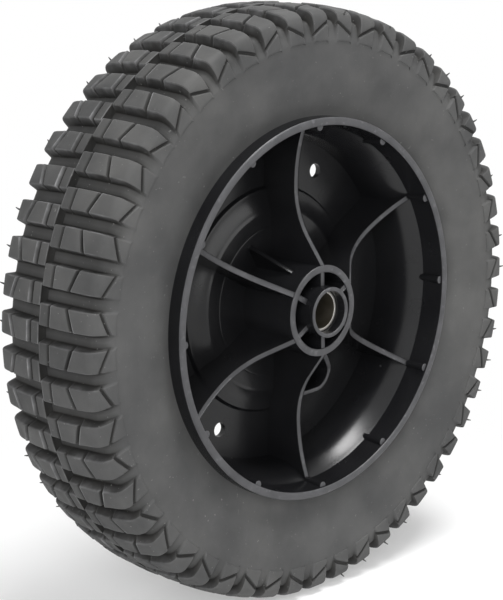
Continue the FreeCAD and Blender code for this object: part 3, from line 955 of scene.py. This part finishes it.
def make_pads(materials):
    """Half-round pads that run down the barrel from just under the lip."""
    pieces = []
    middle_s = PAD_TOP_S - PAD_LENGTH / 2
    for index in range(PAD_COUNT):
        bpy.ops.mesh.primitive_cylinder_add(vertices=PAD_STEPS, radius=PAD_R * MM, depth=PAD_LENGTH * MM)
        pad = bpy.context.object
        pad.name = f"lip_pad_{index}"
        centre = polar(LIP_R - LIP_WALL - PAD_INSET, middle_s, RIM_TURN + index * 360 / PAD_COUNT)
        pad.data.transform(Matrix.Translation(centre) @ Matrix.Rotation(math.pi / 2, 4, "X"))
        for material in materials:
            pad.data.materials.append(material)
        soften(pad, PAD_EDGE)
        pieces.append(pad)
    return pieces


def make_rim(gloss, edge):
    """The rim: a turned shell with two holes, and the loop, ribs, fin and pads on it."""
    materials = [gloss, edge]
    shell = lathe("rim_shell", rim_outline(), RIM_STEPS, materials)
    cut_holes(shell)
    finish_mesh(shell, SHARP)
    # Painted highlight: the lip's top takes the paler finish
    paint_edges(shell, above=LEDGE_S + 1)
    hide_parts("wheel_rim")
    for piece in [shell, make_loop(materials)] + make_ribs(materials) + make_pads(materials):
        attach(piece, "root")


def make_sleeve(bore, end):
    """The steel sleeve, whose end on the ribbed side is a paler copy of the steel as painted highlight."""
    corners = [(SLEEVE_R, SLEEVE_HALF, SLEEVE_EDGE), (SLEEVE_BORE_R, SLEEVE_HALF, FINE_EDGE)]
    corners += [(radius, -s, edge) for radius, s, edge in corners[::-1]]
    sleeve = lathe("sleeve_tube", rounded(corners, steps=4), SLEEVE_STEPS, [bore, end])
    # Painted highlight: the end on the ribbed side takes the paler steel
    paint_edges(sleeve)
    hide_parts("axle_sleeve")
    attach(sleeve, "root")


# Studio

def make_floor_plane():
    """The floor, at the bottom of the CAD box."""
    bpy.ops.mesh.primitive_plane_add(size=FLOOR_SIZE, location=(0, 0, cad_box[0][2]))
    floor = bpy.context.object
    floor.name = "floor"
    floor.data.materials.append(make_floor())


def softbox(name, place, size, power, mirrored=True):
    """A square area lamp that looks at the wheel. Glossy surfaces show it only if it is mirrored."""
    lamp = bpy.data.lights.new(name, "AREA")
    lamp.size = size
    lamp.energy = power
    holder = bpy.data.objects.new(name, lamp)
    holder.location = place
    holder.visible_glossy = mirrored
    holder.rotation_euler = (-Vector(place)).to_track_quat("-Z", "Y").to_euler()
    bpy.context.scene.collection.objects.link(holder)


def make_world():
    """Even light around the wheel, in front of a white background."""
    world = bpy.data.worlds.new("studio")
    world.use_nodes = True
    tree = world.node_tree
    level = tree.nodes.new("ShaderNodeMapRange")
    level.inputs["To Min"].default_value = AMBIENT
    level.inputs["To Max"].default_value = 1.0
    tree.links.new(shown_ray(tree), level.inputs["Value"])
    tree.links.new(level.outputs[0], tree.nodes["Background"].inputs["Strength"])
    tree.nodes["Background"].inputs["Color"].default_value = (1, 1, 1, 1)
    bpy.context.scene.world = world


def make_camera():
    """The camera stands at the photo's angle."""
    azimuth, elevation = math.radians(CAMERA_AZIMUTH), math.radians(CAMERA_ELEVATION)
    right = Vector((math.cos(azimuth), math.sin(azimuth), 0))
    back = Vector((math.sin(azimuth) * math.cos(elevation), -math.cos(azimuth) * math.cos(elevation),
                   math.sin(elevation)))
    turn = Matrix((right, back.cross(right), back)).transposed()
    lens = bpy.data.cameras.new("photo_camera")
    lens.lens = CAMERA_LENS
    lens.sensor_width = CAMERA_SENSOR
    camera = bpy.data.objects.new("photo_camera", lens)
    camera.matrix_world = Matrix.Translation(CAMERA_PLACE) @ turn.to_4x4()
    bpy.context.scene.collection.objects.link(camera)
    bpy.context.scene.camera = camera


rubber = make_rubber()
make_tyre(rubber)
make_nibs(rubber)
make_rim(make_gloss(), make_edge())
make_sleeve(make_steel("sleeve_bore", BORE_STEEL), make_steel("sleeve_end_glint", END_STEEL_GLINT))
make_floor_plane()
softbox("overhead", place=(0.15, -0.26, 1.1), size=0.42, power=13)
softbox("front", place=(0.42, -1.2, 0.25), size=0.8, power=3.3)
softbox("left", place=(-1.0, -0.75, 0.5), size=0.8, power=14.5, mirrored=False)
make_world()
make_camera()
bpy.context.scene.view_settings.view_transform = "Standard"
